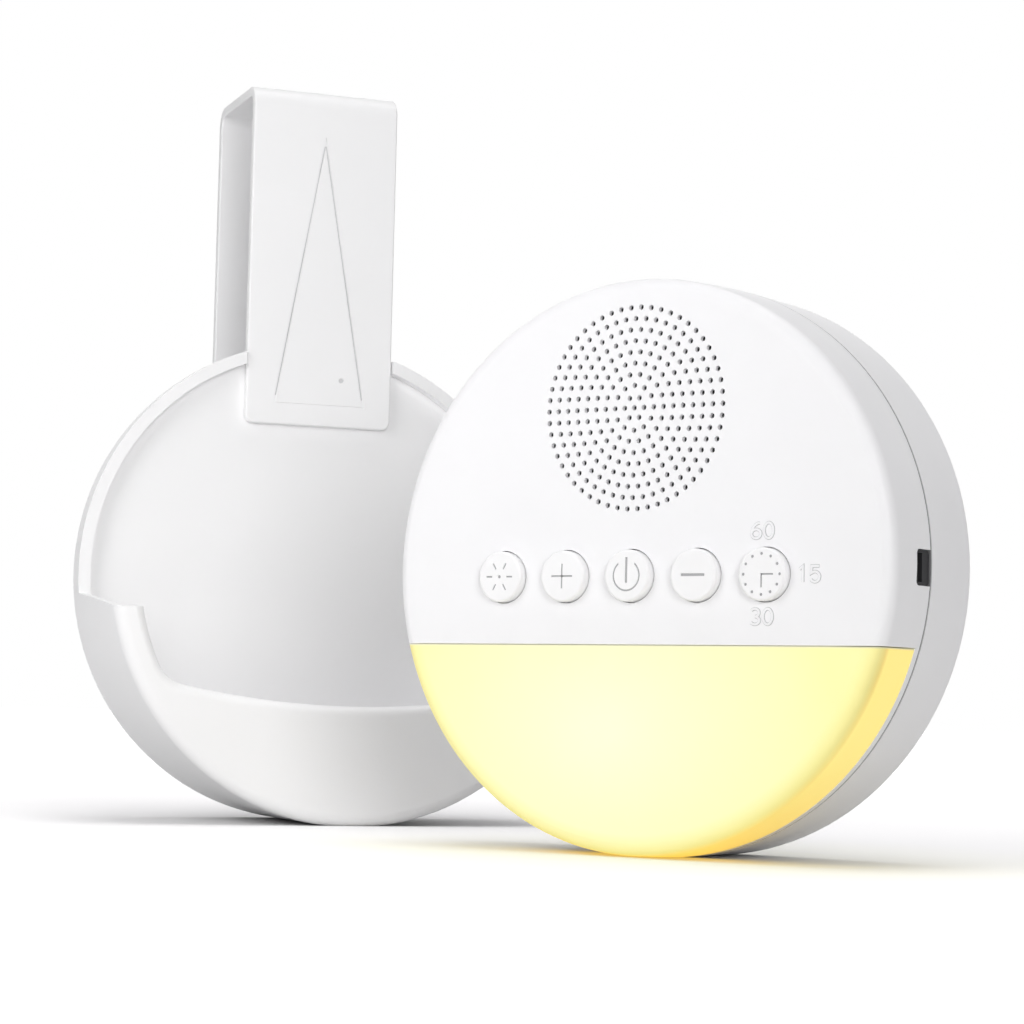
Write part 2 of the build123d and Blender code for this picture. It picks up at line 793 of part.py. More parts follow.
with BuildPart() as speaker_cone:
    dome_top = cone_back - dust_cap_rise
    dome_inner_top = dome_top + cone_thickness
    dome_foot = cone_front(dust_cap_share)
    dome_inner_foot = cone_front(dust_cap_share - cone_thickness / cone_edge_radius)
    with BuildSketch(speaker_section):
        with BuildLine():
            ThreePointArc(dome_foot, dome_middle(dome_foot, dome_top), (dome_top, 0))
            Line((dome_top, 0), (dome_inner_top, 0))
            inner_middle = dome_middle(dome_inner_foot, dome_inner_top)
            ThreePointArc((dome_inner_top, 0), inner_middle, dome_inner_foot)
            Polyline(
                dome_inner_foot,
                cone_front(0),
                (cone_back + cone_thickness, coil_inner),
                (cone_back + cone_thickness, coil_outer),
                (flange_plate_back + cone_thickness, cone_edge_radius),
                cone_front(1),
                dome_foot,
            )
        make_face()
    revolve(axis=speaker_axis)
export(speaker_cone, "speaker_cone")

with BuildPart() as voice_coil:
    with BuildSketch(at_depth(face, cone_back + cone_thickness)):
        with Locations((0, grille_height)):
            Circle(coil_outer)
            Circle(coil_inner, mode=Mode.SUBTRACT)
    extrude(amount=-(magnet_back - 2 * cone_travel - cone_back - cone_thickness))
export(voice_coil, "voice_coil")

# ---------------------------------------------------------------- light tray and lamp board

with BuildPart() as light_tray:
    with BuildSketch(at_depth(face, tray_depth - tray_rim)):
        Circle(tray_radius)
        with Locations((0, tray_top)):
            Rectangle(machine_span, machine_span, align=(Align.CENTER, Align.MAX), mode=Mode.INTERSECT)
    extrude(amount=-(tray_rim + tray_wall))
    with BuildSketch(at_depth(face, tray_depth - tray_rim)):
        Circle(tray_radius - tray_wall)
        with Locations((0, tray_top - tray_wall)):
            Rectangle(machine_span, machine_span, align=(Align.CENTER, Align.MAX), mode=Mode.INTERSECT)
    extrude(amount=-tray_rim, mode=Mode.SUBTRACT)
    with BuildSketch(at_depth(face, tray_depth)):
        with Locations(*light_post_places):
            Circle(small_screw_radius + screw_hole_clearance)
        with Locations(*led_places):
            Rectangle(led_width + 2 * led_window_clearance, led_width + 2 * led_window_clearance)
    extrude(amount=-tray_wall, mode=Mode.SUBTRACT)
export(light_tray, "light_tray")

with BuildPart() as led_board:
    with BuildSketch(at_depth(face, tray_back)):
        Circle(led_board_radius)
        with Locations((0, led_board_top)):
            Rectangle(machine_span, machine_span, align=(Align.CENTER, Align.MAX), mode=Mode.INTERSECT)
        with Locations(*light_post_places):
            Circle(small_screw_radius + screw_hole_clearance, mode=Mode.SUBTRACT)
    extrude(amount=-led_board_thickness)
export(led_board, "led_board")

with BuildPart() as led_lamps:
    with BuildSketch(at_depth(face, tray_back)):
        with Locations(*led_places):
            Rectangle(led_width, led_width)
    extrude(amount=led_thickness)
export(led_lamps, "led_lamps")

with BuildPart() as led_ribbon:
    ribbon_plane = section.offset(-ribbon_width / 2)
    high_end = ribbon_overlap - board_bottom
    low_end = led_board_top - ribbon_overlap
    with BuildSketch(ribbon_plane):
        with BuildLine():
            Polyline(
                (board_back, high_end),
                (board_back + ribbon_thickness, high_end),
                (board_back + ribbon_thickness, -board_bottom - ribbon_slack),
                (led_board_back + ribbon_thickness, led_board_top),
                (led_board_back + ribbon_thickness, low_end),
                (led_board_back, low_end),
                (led_board_back, led_board_top),
                (board_back, -board_bottom - ribbon_slack),
                close=True,
            )
        make_face()
    extrude(amount=ribbon_width)
export(led_ribbon, "led_ribbon")

# ---------------------------------------------------------------- rechargeable cell, foam and leads

cell_axis_plane = Plane(
    origin=face.origin + face.y_dir * cell_height - face.z_dir * cell_depth,
    x_dir=-face.z_dir,
    z_dir=face.x_dir,
)
with BuildPart() as battery_cell:
    with BuildSketch(cell_axis_plane.offset(-cell_length / 2)):
        Circle(cell_radius)
    extrude(amount=cell_length)
    fillet(battery_cell.edges().filter_by(GeomType.CIRCLE), cell_fillet)
    with BuildSketch(cell_axis_plane.offset(cell_length / 2)):
        Circle(cell_cap_radius)
    extrude(amount=cell_cap_height)
export(battery_cell, "battery_cell")

with BuildPart() as battery_foam:
    with BuildSketch(at_depth(face, led_board_back)):
        with Locations((-saddle_x, cell_height), (saddle_x, cell_height)):
            Rectangle(foam_width, foam_height)
    extrude(amount=-(cell_depth - led_board_back))
    with BuildSketch(section):
        with Locations((cell_depth, cell_height)):
            Circle(cell_radius + saddle_clearance)
    extrude(amount=saddle_x + foam_width, both=True, mode=Mode.SUBTRACT)
export(battery_foam, "battery_foam")


def leads(routes):
    """Round wires, each along straight runs joined by bends."""
    with BuildPart() as pair:
        for points in routes:
            with BuildLine() as route:
                FilletPolyline(*points, radius=wire_bend)
            with BuildSketch(Plane(origin=points[0], z_dir=points[1] - points[0])):
                Circle(wire_radius)
            sweep(path=route.line)
    return pair


def place(right, height, depth):
    """A point of the machine, from its distance to the right, its height and its depth."""
    return face.origin + face.x_dir * right + face.y_dir * height - face.z_dir * depth


lead_rise = lead_overlap - board_bottom
cell_routes = []
for side, cell_end in ((-1, -cell_length / 2), (1, cell_length / 2 + cell_cap_height)):
    cell_routes.append([
        place(cell_end, cell_height, cell_depth),
        place(cell_end + side * lead_out, cell_height, cell_depth),
        place(cell_end + side * lead_out, lead_rise, cell_depth),
        place(cell_end + side * lead_out, lead_rise, board_back),
    ])
battery_leads = leads(cell_routes)
export(battery_leads, "battery_leads")

lug_radius = (magnet_radius + top_plate_radius) / 2
lug_height = grille_height - math.sqrt(lug_radius ** 2 - lug_spread ** 2)
lead_depth = top_plate_back + lug_lead_reach
lead_end_height = board_top - lug_lead_drop
speaker_routes = []
for side in (-1, 1):
    speaker_routes.append([
        place(side * lug_spread, lug_height, top_plate_back),
        place(side * lug_spread, lug_height, lead_depth),
        place(side * lug_spread, lead_end_height, lead_depth),
        place(side * lug_spread, lead_end_height, board_back),
    ])
speaker_leads = leads(speaker_routes)
export(speaker_leads, "speaker_leads")

# ---------------------------------------------------------------- screws


def screws(front, places, seat_depth, shank_radius, length, head_radius, head_height):
    """Pan-head screws behind a front plane, their heads towards the back."""
    with BuildPart() as group:
        with BuildSketch(at_depth(front, seat_depth)):
            with Locations(*places):
                Circle(shank_radius)
        extrude(amount=length)
        with BuildSketch(at_depth(front, seat_depth)):
            with Locations(*places):
                Circle(head_radius)
        extrude(amount=-head_height)
        with BuildSketch(at_depth(front, seat_depth + head_height)):
            with Locations(*places):
                Rectangle(driver_span * head_radius, driver_slot)
                Rectangle(driver_slot, driver_span * head_radius)
        extrude(amount=head_height / 2, mode=Mode.SUBTRACT)
    return group


housing_screws = screws(face, panel_boss_places + light_boss_places, screw_seat, screw_radius,
                        screw_length, screw_head_radius, screw_head_height)
export(housing_screws, "housing_screws")
board_screws = screws(face, post_places, board_back, small_screw_radius, small_screw_length,
                      small_head_radius, small_head_height)
export(board_screws, "board_screws")
speaker_screws = screws(face, ear_places, ear_depth + flange_plate, small_screw_radius,
                        small_screw_length, small_head_radius, small_head_height)
export(speaker_screws, "speaker_screws")
light_screws = screws(face, light_post_places, led_board_back, small_screw_radius,
                      small_screw_length, small_head_radius, small_head_height)
export(light_screws, "light_screws")

# ---------------------------------------------------------------- holder cradle

cradle_span = 4 * cradle_radius     # side of the blocks that cut the cradle
shoulder_depth = plate_front - plate_rim_height

with BuildPart() as holder_cradle:
    with BuildSketch(holder_section):
        with BuildLine():
            Polyline(
                (0, 0),
                (0, cradle_radius),
                (cradle_depth, cradle_radius),
                (cradle_depth, 0),
                close=True,
            )
        make_face()
    revolve(axis=holder_axis)
    outer_edges = holder_cradle.edges().filter_by(GeomType.CIRCLE).sort_by(holder_axis)
    fillet(outer_edges[0], cradle_fillet)
    outer_edges = holder_cradle.edges().filter_by(GeomType.CIRCLE).sort_by(holder_axis)
    fillet(outer_edges[-1], cradle_back_fillet)
    # pocket for the machine, and the shallower one inside the low rim
    with BuildSketch(at_depth(holder, lip_thickness)):
        Circle(cradle_pocket_radius)
    extrude(amount=-(shoulder_depth - lip_thickness), mode=Mode.SUBTRACT)
    with BuildSketch(at_depth(holder, shoulder_depth)):
        Circle(cradle_radius - plate_rim)
    extrude(amount=-plate_rim_height, mode=Mode.SUBTRACT)
    # notch in the low rim for the strap's front leg
    with BuildSketch(at_depth(holder, shoulder_depth)):
        with Locations((0, cradle_radius)):
            Rectangle(strap_width + 2 * strap_clearance, cradle_radius)
    extrude(amount=-plate_rim_height, mode=Mode.SUBTRACT)
    # the upper half is open down to the shoulders, which slope a little
    with BuildSketch(holder_section.offset(-cradle_span / 2)):
        with BuildLine():
            Polyline(
                (-cut_margin, shoulder_front),
                (0, shoulder_front),
                (shoulder_depth, shoulder_back),
                (shoulder_depth, cradle_span),
                (-cut_margin, cradle_span),
                close=True,
            )
        make_face()
    extrude(amount=cradle_span, mode=Mode.SUBTRACT)
    # front opening above the lip, with rounded lower corners
    with BuildSketch(holder):
        Circle(opening_radius)
        with Locations((0, opening_bottom + opening_sag_radius)):
            Circle(opening_sag_radius, mode=Mode.INTERSECT)
    extrude(amount=-lip_thickness, mode=Mode.SUBTRACT)
    through_lip = holder_cradle.edges().filter_by(holder_axis)
    fillet(edges_of_length(through_lip, lip_thickness), opening_corner)
    # its edge is rounded: all the arcs of the front face but the longest, which is the outer one
    front_arcs = holder_cradle.faces().sort_by(holder_axis)[0].edges().filter_by(GeomType.CIRCLE)
    fillet(front_arcs.sort_by(SortBy.LENGTH)[:-1], opening_edge)
    # holes for the strap's screws, their heads sunk in the back
    with BuildSketch(at_depth(holder, cradle_depth)):
        with Locations(*strap_screw_places):
            Circle(screw_radius + screw_hole_clearance)
    extrude(amount=plate_thickness, mode=Mode.SUBTRACT)
    with BuildSketch(at_depth(holder, cradle_depth)):
        with Locations(*strap_screw_places):
            Circle(screw_head_radius + counterbore_clearance)
    extrude(amount=screw_head_height / 2, mode=Mode.SUBTRACT)
    # flat base
    with BuildSketch(Plane.XY):
        with Locations((holder_x, holder_y)):
            Rectangle(cradle_span, cradle_span)
    extrude(amount=-cradle_span, mode=Mode.SUBTRACT)
export(holder_cradle, "holder_cradle")

# ---------------------------------------------------------------- hanging strap

with BuildPart() as hanging_strap:
    strap_back = strap_leg_front + strap_reach
    with BuildSketch(holder_section.offset(-strap_width / 2)):
        with BuildLine():
            outer = FilletPolyline(
                (strap_leg_front, strap_front_end),
                (strap_leg_front, strap_top),
                (strap_back, strap_top),
                (strap_back, strap_back_end),
                radius=strap_bend,
            )
            inner = FilletPolyline(
                (strap_leg_front + strap_thickness, strap_front_end),
                (strap_leg_front + strap_thickness, strap_top - strap_thickness),
                (strap_back - strap_thickness, strap_top - strap_thickness),
                (strap_back - strap_thickness, strap_back_end),
                radius=strap_bend - strap_thickness,
            )
            Line(outer @ 0, inner @ 0)
            Line(outer @ 1, inner @ 1)
        make_face()
    extrude(amount=strap_width)
    through_strap = hanging_strap.edges().filter_by(holder_axis)
    fillet(edges_of_length(through_strap, strap_thickness), strap_corner)
    fillet(hanging_strap.edges(), strap_edge)
    # engraved triangle and dot on the front leg
    mark_foot = strap_front_end + mark_rise
    with BuildSketch(at_depth(holder, strap_leg_front)):
        with BuildLine():
            Polyline(
                (-mark_base / 2, mark_foot),
                (mark_base / 2, mark_foot),
                (0, mark_foot + mark_height),
                close=True,
            )
        mark_face = make_face()
        offset(mark_face, amount=-mark_line, mode=Mode.SUBTRACT)
        with Locations((dot_side, strap_front_end + dot_rise)):
            Circle(dot_radius)
    extrude(amount=-mark_depth, mode=Mode.SUBTRACT)
    # pilots for the strap's screws
    with BuildSketch(at_depth(holder, plate_front)):
        with Locations(*strap_screw_places):
            Circle(screw_radius + pilot_clearance)
    extrude(amount=strap_pilot, mode=Mode.SUBTRACT)
export(hanging_strap, "hanging_strap")

strap_screw_seat = cradle_depth - screw_head_height / 2
strap_screws = screws(holder, strap_screw_places, strap_screw_seat, screw_radius,
                      strap_screw_seat - plate_front + strap_pilot - pilot_clearance,
                      screw_head_radius, screw_head_height / 2)
export(strap_screws, "strap_screws")
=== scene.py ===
import json
import math

import bmesh
import bpy
from mathutils import Matrix, Vector


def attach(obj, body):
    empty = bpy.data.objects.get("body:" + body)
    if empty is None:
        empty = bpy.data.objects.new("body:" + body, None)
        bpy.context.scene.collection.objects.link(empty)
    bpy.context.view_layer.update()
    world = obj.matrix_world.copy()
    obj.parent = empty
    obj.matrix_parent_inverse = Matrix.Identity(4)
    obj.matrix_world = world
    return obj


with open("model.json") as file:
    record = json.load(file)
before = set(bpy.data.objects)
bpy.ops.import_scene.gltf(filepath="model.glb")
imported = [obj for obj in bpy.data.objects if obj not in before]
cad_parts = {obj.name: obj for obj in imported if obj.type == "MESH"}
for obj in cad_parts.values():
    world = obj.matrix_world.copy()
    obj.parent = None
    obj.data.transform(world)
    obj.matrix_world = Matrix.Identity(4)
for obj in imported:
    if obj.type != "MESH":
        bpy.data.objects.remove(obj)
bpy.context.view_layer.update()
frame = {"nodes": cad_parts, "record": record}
nodes = frame["nodes"]

MM = 0.001
FACE_Y = -17.75          # the machine's front face, in millimetres
AXIS_Z = 57.8            # height of the machine's axis
SEAM_Y = FACE_Y + 14.85  # middle of the joint between front panel and rear housing
CAP_Y = FACE_Y - 1.9     # the buttons' front
BUTTONS = {"light": -30.4, "plus": -15.2, "power": 0.0, "minus": 15.2, "timer": 30.4}
BUTTON_Z = AXIS_Z - 2.2
# the holder's own frame: x across, y its depth, z up from its axis
HOLDER = Matrix.Translation((-112.0, 41.25, 60.2)) @ Matrix.Rotation(math.radians(55), 4, "Z")
STRAP_FRONT = 40.1       # depth of the strap's front leg
STRAP_END = 39.5         # height of its lower end


# ------------------------------------------------------------------ materials

class Nodes:
    """A node tree, with short calls for the nodes used here."""

    def __init__(self, owner):
        owner.use_nodes = True
        self.owner = owner
        self.tree = owner.node_tree

    def node(self, kind, inputs=None, **settings):
        made = self.tree.nodes.new(kind)
        for key, value in settings.items():
            setattr(made, key, value)
        for key, value in (inputs or {}).items():
            self.feed(made.inputs[key], value)
        return made

    def feed(self, socket, value):
        if isinstance(value, bpy.types.NodeSocket):
            self.tree.links.new(value, socket)
        else:
            socket.default_value = value

    def scaled(self, value, low, high, start=0.0, end=1.0):
        made = self.node("ShaderNodeMapRange", {"Value": value, "From Min": start, "From Max": end,
                                                "To Min": low, "To Max": high})
        return made.outputs["Result"]

    def math(self, operation, a, b=0.0):
        return self.node("ShaderNodeMath", {0: a, 1: b}, operation=operation).outputs[0]

    def seen(self):
        """1 for camera, glossy and transmission rays, 0 for the light that falls on things."""
        path = self.node("ShaderNodeLightPath").outputs
        either = self.math("MAXIMUM", path["Is Camera Ray"], path["Is Glossy Ray"])
        return self.math("MAXIMUM", either, path["Is Transmission Ray"])


class Finish(Nodes):
    """A material round one shader, patterned in the object's own coordinates."""

    def __init__(self, name):
        super().__init__(bpy.data.materials.new(name))
        self.shader = self.tree.nodes["Principled BSDF"]
        self.place = self.node("ShaderNodeTexCoord").outputs["Object"]

    def noise(self, size, detail=3.0, roughness=0.55, stretch=None):
        """Noise whose features are about `size` millimetres across."""
        where = self.place
        if stretch:
            where = self.node("ShaderNodeMapping", {"Vector": where, "Scale": stretch}).outputs[0]
        made = self.node("ShaderNodeTexNoise", {"Vector": where, "Scale": 1 / (size * MM),
                                                "Detail": detail, "Roughness": roughness})
        return made.outputs["Fac"]

    def mixed(self, share, a, b):
        made = self.node("ShaderNodeMix", data_type="RGBA")
        self.feed(made.inputs[0], share)
        self.feed(made.inputs[6], a)
        self.feed(made.inputs[7], b)
        return made.outputs[2]

    def ramp(self, value, stops):
        made = self.node("ShaderNodeValToRGB", {"Fac": value})
        line = made.color_ramp
        while len(line.elements) < len(stops):
            line.elements.new(0.5)
        for element, (position, colour) in zip(line.elements, stops):
            element.position = position
            element.color = (*colour, 1)
        return made.outputs["Color"]

    def bump(self, height, distance, strength, under=None):
        inputs = {"Height": height, "Distance": distance * MM, "Strength": strength}
        if under:
            inputs["Normal"] = under
        return self.node("ShaderNodeBump", inputs).outputs["Normal"]

    def axes(self):
        made = self.node("ShaderNodeSeparateXYZ", {"Vector": self.place})
        return made.outputs["X"], made.outputs["Y"], made.outputs["Z"]

    def dress(self, colour, roughness, normal):
        self.feed(self.shader.inputs["Base Color"], colour)
        self.feed(self.shader.inputs["Roughness"], roughness)
        self.feed(self.shader.inputs["Normal"], normal)

    def set(self, socket, value):
        self.shader.inputs[socket].default_value = value


def rgba(colour, factor=1.0):
    return (*[min(1.0, c * factor) for c in colour], 1)


# dark grey of the painted shade in a seam joint
SEAM_SHADE_GREY = (0.13, 0.13, 0.135, 1)
JOINT_DARK, JOINT_CLEAR = 0.2, 0.44     # the joint's line of painted shade ends between these, from its middle


def plastic(name, colour, roughness, grain=0.35, depth=0.012, spread=0.02, wave=0.05, coat=0.0,
            shine=0.42, joint=None):
    """Moulded plastic: a spark-eroded grain, a faint mould wave, slightly uneven sheen and colour."""
    n = Finish(name)
    cloud = n.noise(18, 2.0)
    fine = n.noise(grain, 4.0, 0.6)
    pale = rgba(colour, 1 + spread)
    dark = rgba(colour, 1 - spread)
    shade = n.mixed(n.scaled(cloud, 0.0, 1.0, 0.35, 0.65), pale, dark)
    shade = n.mixed(n.scaled(fine, 0.0, 0.12), shade, dark)
    if joint is not None:
        # painted shade in the narrow joint at this depth: the colour turns dark grey there
        beside = n.math("ABSOLUTE", n.math("SUBTRACT", n.axes()[1], joint * MM))
        painted_seam_shade = n.scaled(beside, 0.92, 0.0, JOINT_DARK * MM, JOINT_CLEAR * MM)
        shade = n.mixed(painted_seam_shade, shade, SEAM_SHADE_GREY)
    swell = n.bump(n.noise(9, 1.0), wave, 0.25)
    n.dress(shade, n.scaled(n.noise(2.5, 3.0), roughness - 0.05, roughness + 0.06),
            n.bump(fine, depth, 0.6, swell))
    n.set("Specular IOR Level", shine)
    n.set("Coat Weight", coat)
    n.set("Coat Roughness", 0.3)
    return n.owner


# the night light, in millimetres: heights and radii from the machine's axis, depths from its face
SPOT_X, SPOT_Z = -6, -33                # its brightest spot
SPOT_FROM, SPOT_TO = 2, 40              # the glow fades between these distances from the spot
RIM_FROM, RIM_TO = 53.4, 57.2           # radii between which the front turns amber
SIDE_FROM, SIDE_TO = 3, 22              # heights above the floor between which the side pales
TURN_FROM, TURN_TO = 0.9, 2.6           # depths between which the front turns into the side wall
DULL_DEPTH = 3.2                        # depth of the duller rounded rim
DULL_FROM, DULL_TO = -50, -22           # heights between which the rim grows duller
EDGE_FROM, EDGE_TO = -16.35, -16.05     # heights of the joint along the straight top edge
CORNER_FROM, CORNER_TO = 44, 51         # that joint's painted shade deepens between these, at its right end


def glowing_plastic(name):
    """Frosted diffuser lit from inside: lemon in front of the lamps, amber round the rim and side."""
    n = Finish(name)
    x, y, z = n.axes()
    up = n.math("SUBTRACT", z, AXIS_Z * MM)
    radius = n.math("SQRT", n.math("ADD", n.math("MULTIPLY", x, x), n.math("MULTIPLY", up, up)))
    depth = n.math("SUBTRACT", y, FACE_Y * MM)
    low = n.math("ADD", up, -SPOT_Z * MM)
    aside = n.math("ADD", x, -SPOT_X * MM)
    wide = n.math("MULTIPLY", n.math("MULTIPLY", aside, aside), 0.55)
    away = n.math("SQRT", n.math("ADD", wide, n.math("MULTIPLY", low, low)))
    uneven = n.math("MULTIPLY", n.math("SUBTRACT", n.noise(24, 1.5), 0.5), 5 * MM)
    spot = n.scaled(n.math("ADD", away, uneven), 0.0, 1.0, SPOT_FROM * MM, SPOT_TO * MM)
    front = n.ramp(spot, [(0.0, (0.42, 0.44, 0.41)), (0.4, (0.41, 0.43, 0.32)),
                          (0.8, (0.41, 0.42, 0.235)), (1.0, (0.42, 0.41, 0.17))])
    near_rim = n.scaled(radius, 0.0, 1.0, RIM_FROM * MM, RIM_TO * MM)
    front = n.mixed(near_rim, front, (0.40, 0.345, 0.07, 1))
    lowest = n.scaled(z, 1.0, 0.0, SIDE_FROM * MM, SIDE_TO * MM)
    side = n.mixed(lowest, (0.56, 0.49, 0.13, 1), (0.60, 0.42, 0.08, 1))
    turned = n.scaled(depth, 0.0, 1.0, TURN_FROM * MM, TURN_TO * MM)
    glow = n.mixed(turned, front, side)
    # the rounded rim is duller, most of all beside the straight edge, and the joint along it is darker
    # still with painted shade
    dull = n.ramp(n.scaled(depth, 0.0, 1.0, 0.0, DULL_DEPTH * MM), [
        (0.0, (0, 0, 0)), (0.3, (1, 1, 1)), (0.65, (1, 1, 1)), (1.0, (0, 0, 0))])
    dull = n.math("MULTIPLY", dull, n.scaled(up, 0.0, 0.55, DULL_FROM * MM, DULL_TO * MM))
    joint = n.scaled(up, 0.0, 1.0, EDGE_FROM * MM, EDGE_TO * MM)
    glow = n.mixed(dull, glow, (0.20, 0.14, 0.0, 1))
    # painted shade in the joint along the top edge: dark tan, deepening towards its right end
    corner = n.scaled(x, 0.0, 0.75, CORNER_FROM * MM, CORNER_TO * MM)
    joint_shade = n.mixed(corner, (0.30, 0.30, 0.19, 1), (0.06, 0.055, 0.02, 1))
    n.feed(n.shader.inputs["Emission Color"], n.mixed(joint, glow, joint_shade))
    n.set("Emission Strength", 1.0)
    body = n.mixed(turned, (0.62, 0.59, 0.30, 1), (0.62, 0.46, 0.16, 1))
    body = n.mixed(n.scaled(n.noise(6, 3.0), 0.0, 0.10), body, (0.80, 0.76, 0.5, 1))
    # along the joint the base colour greys too, part of its painted shade
    n.dress(n.mixed(joint, body, (0.60, 0.58, 0.44, 1)), n.scaled(n.noise(1.2, 3.0), 0.42, 0.54),
            n.bump(n.noise(0.4, 4.0), 0.01, 0.5))
    n.set("Specular IOR Level", 0.3)
    return n.owner


def metal(name, colour, roughness=0.32, stretch=(1, 1, 14)):
    """Rolled or turned metal: fine lines one way, with duller patches."""
    n = Finish(name)
    lines = n.noise(0.6, 4.0, 0.65, stretch)
    stain = n.scaled(n.noise(5, 3.0), 0.0, 0.5, 0.3, 0.8)
    n.dress(n.mixed(stain, rgba(colour), rgba(colour, 0.72)),
            n.scaled(lines, roughness - 0.08, roughness + 0.16), n.bump(lines, 0.006, 0.5))
    n.set("Metallic", 1.0)
    return n.owner


THREAD_PITCH = 0.28
WAVE_LENGTH = 0.314      # a wave texture of scale 1 repeats in about this length


def cloth(name, colour):
    """Fine woven speaker cloth."""
    n = Finish(name)
    threads = []
    for direction in ("X", "Z"):
        wave = n.node("ShaderNodeTexWave", {
            "Vector": n.place, "Scale": WAVE_LENGTH / (THREAD_PITCH * MM), "Distortion": 0.6,
            "Detail": 1.0}, wave_type="BANDS", bands_direction=direction)
        threads.append(wave.outputs["Fac"])
    weave = n.math("MULTIPLY", threads[0], threads[1])
    n.dress(n.mixed(weave, rgba(colour, 0.4), rgba(colour, 1.5)),
            n.scaled(n.noise(0.5), 0.8, 0.97), n.bump(weave, 0.08, 0.8))
    n.set("Sheen Weight", 0.25)
    return n.owner


def foam(name, colour):
    """Closed-cell foam with small open pores."""
    n = Finish(name)
    pores = n.node("ShaderNodeTexVoronoi", {"Vector": n.place, "Scale": 1 / (0.5 * MM)})
    cells = pores.outputs["Distance"]
    n.dress(n.mixed(n.scaled(cells, 0.0, 1.0, 0.0, 0.7), rgba(colour, 0.5), rgba(colour, 1.3)),
            n.scaled(cells, 0.85, 0.98), n.bump(cells, 0.12, 0.8))
    return n.owner


def circuit_board(name, colour):
    """Solder mask over copper: darker fields, paler tracks and a faint glass weave."""
    n = Finish(name)
    flat = n.node("ShaderNodeMapping", {"Vector": n.place, "Rotation": (math.radians(90), 0, 0)})
    brick = n.node("ShaderNodeTexBrick", {
        "Vector": flat.outputs[0], "Scale": 1 / (3.2 * MM), "Mortar Size": 0.06,
        "Color1": rgba(colour), "Color2": rgba(colour, 0.7), "Mortar": rgba(colour, 1.9)})
    weave = n.noise(0.5, 2.0)
    n.dress(n.mixed(n.scaled(weave, 0.0, 0.25), brick.outputs["Color"], rgba(colour, 0.5)),
            n.scaled(weave, 0.25, 0.45), n.bump(brick.outputs["Fac"], 0.03, 0.6))
    return n.owner


def fibrous(name, colour, roughness, size):
    """Pressed pulp or ferrite: a coarse grain in two tones."""
    n = Finish(name)
    grain = n.noise(size, 6.0, 0.7)
    patch = n.scaled(n.noise(size * 8, 2.0), 0.2, 0.8)
    n.dress(n.mixed(patch, rgba(colour, 0.75), rgba(colour, 1.35)),
            n.scaled(grain, roughness - 0.1, roughness + 0.1), n.bump(grain, 0.06, 0.7))
    return n.owner


# the shell gets painted shade in the seam joint between front panel and rear housing
shell = plastic("shell_plastic", (0.905, 0.90, 0.915), 0.48, spread=0.006, wave=0.01, joint=SEAM_Y)
button_white = plastic("button_plastic", (0.915, 0.91, 0.92), 0.42, grain=0.25, spread=0.006, wave=0.01)
holder_white = plastic("holder_plastic", (0.955, 0.952, 0.96), 0.4, grain=0.5, depth=0.008,
                       spread=0.006, wave=0.01)
night_light = glowing_plastic("night_light_plastic")
ink = plastic("marking_ink", (0.42, 0.42, 0.43), 0.6, grain=0.15, spread=0.08)
# grey of the painted shade round the feet of the raised numbers
number_shade_grey = plastic("number_edge_grey", (0.52, 0.52, 0.53), 0.6, grain=0.15, spread=0.08)
# grey of the painted shade in the strap's engraved grooves
groove_grey = plastic("groove_grey", (0.70, 0.70, 0.71), 0.6, grain=0.15, spread=0.08)
finishes = {
    "shell": shell,
    "button": button_white,
    "holder": holder_white,
    "night_light": night_light,
    "marking": ink,
    "cloth": cloth("speaker_cloth", (0.05, 0.05, 0.052)),
    "foam": foam("foam_black", (0.07, 0.07, 0.075)),
    "black_steel": plastic("basket_paint", (0.03, 0.03, 0.032), 0.45, spread=0.15),
    "steel": metal("zinc_steel", (0.62, 0.62, 0.64)),
    "ferrite": fibrous("ferrite_grey", (0.07, 0.07, 0.075), 0.75, 0.4),
    "rubber": plastic("rubber_black", (0.018, 0.018, 0.02), 0.7, grain=0.8, depth=0.03, spread=0.2),
    "paper_cone": fibrous("cone_pulp", (0.05, 0.05, 0.055), 0.85, 0.6),
    "copper": metal("coil_copper", (0.75, 0.36, 0.2), 0.35, stretch=(1, 22, 1)),
    "switch_body": plastic("switch_black", (0.022, 0.022, 0.024), 0.6, spread=0.1, shine=0.2),
    "chip": plastic("chip_epoxy", (0.02, 0.02, 0.022), 0.55, grain=0.2, spread=0.2),
    "circuit_board": circuit_board("board_green", (0.02, 0.2, 0.08)),
    "tray": plastic("tray_white", (0.95, 0.95, 0.94), 0.25, coat=0.3),
    "lamp": plastic("lamp_phosphor", (1.0, 0.8, 0.3), 0.3, grain=0.1, spread=0.05),
    "ribbon": plastic("ribbon_film", (0.6, 0.32, 0.05), 0.3, grain=1.0, spread=0.1),
    "cell": plastic("cell_sleeve", (0.04, 0.12, 0.42), 0.28, grain=2.0, depth=0.03, spread=0.06,
                    coat=0.4),
    "lead": plastic("lead_red", (0.5, 0.02, 0.02), 0.5, grain=0.6, spread=0.1),
}
lamp = finishes["lamp"].node_tree.nodes["Principled BSDF"]
lamp.inputs["Emission Color"].default_value = (1, 0.85, 0.5, 1)
lamp.inputs["Emission Strength"].default_value = 1.0

for entry in frame["record"]["subparts"]:
    node = nodes[entry["node"]]
    finish = finishes[entry["material_slot"]]
    if not node.material_slots:
        node.data.materials.append(finish)
    for slot in node.material_slots:
        slot.material = finish


# ------------------------------------------------------------------ symbols and numbers

def new_piece(name, mesh_maker, material, body, placed=Matrix()):
    """A mesh piece made by `mesh_maker(bm)`, in millimetres, riding on a body."""
    bm = bmesh.new()
    mesh_maker(bm)
    bmesh.ops.transform(bm, matrix=Matrix.Scale(MM, 4) @ placed, verts=bm.verts)
    mesh = bpy.data.meshes.new(name)
    bm.to_mesh(mesh)
    bm.free()
    piece = bpy.data.objects.new(name, mesh)
    bpy.context.scene.collection.objects.link(piece)
    mesh.materials.append(material)
    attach(piece, body)


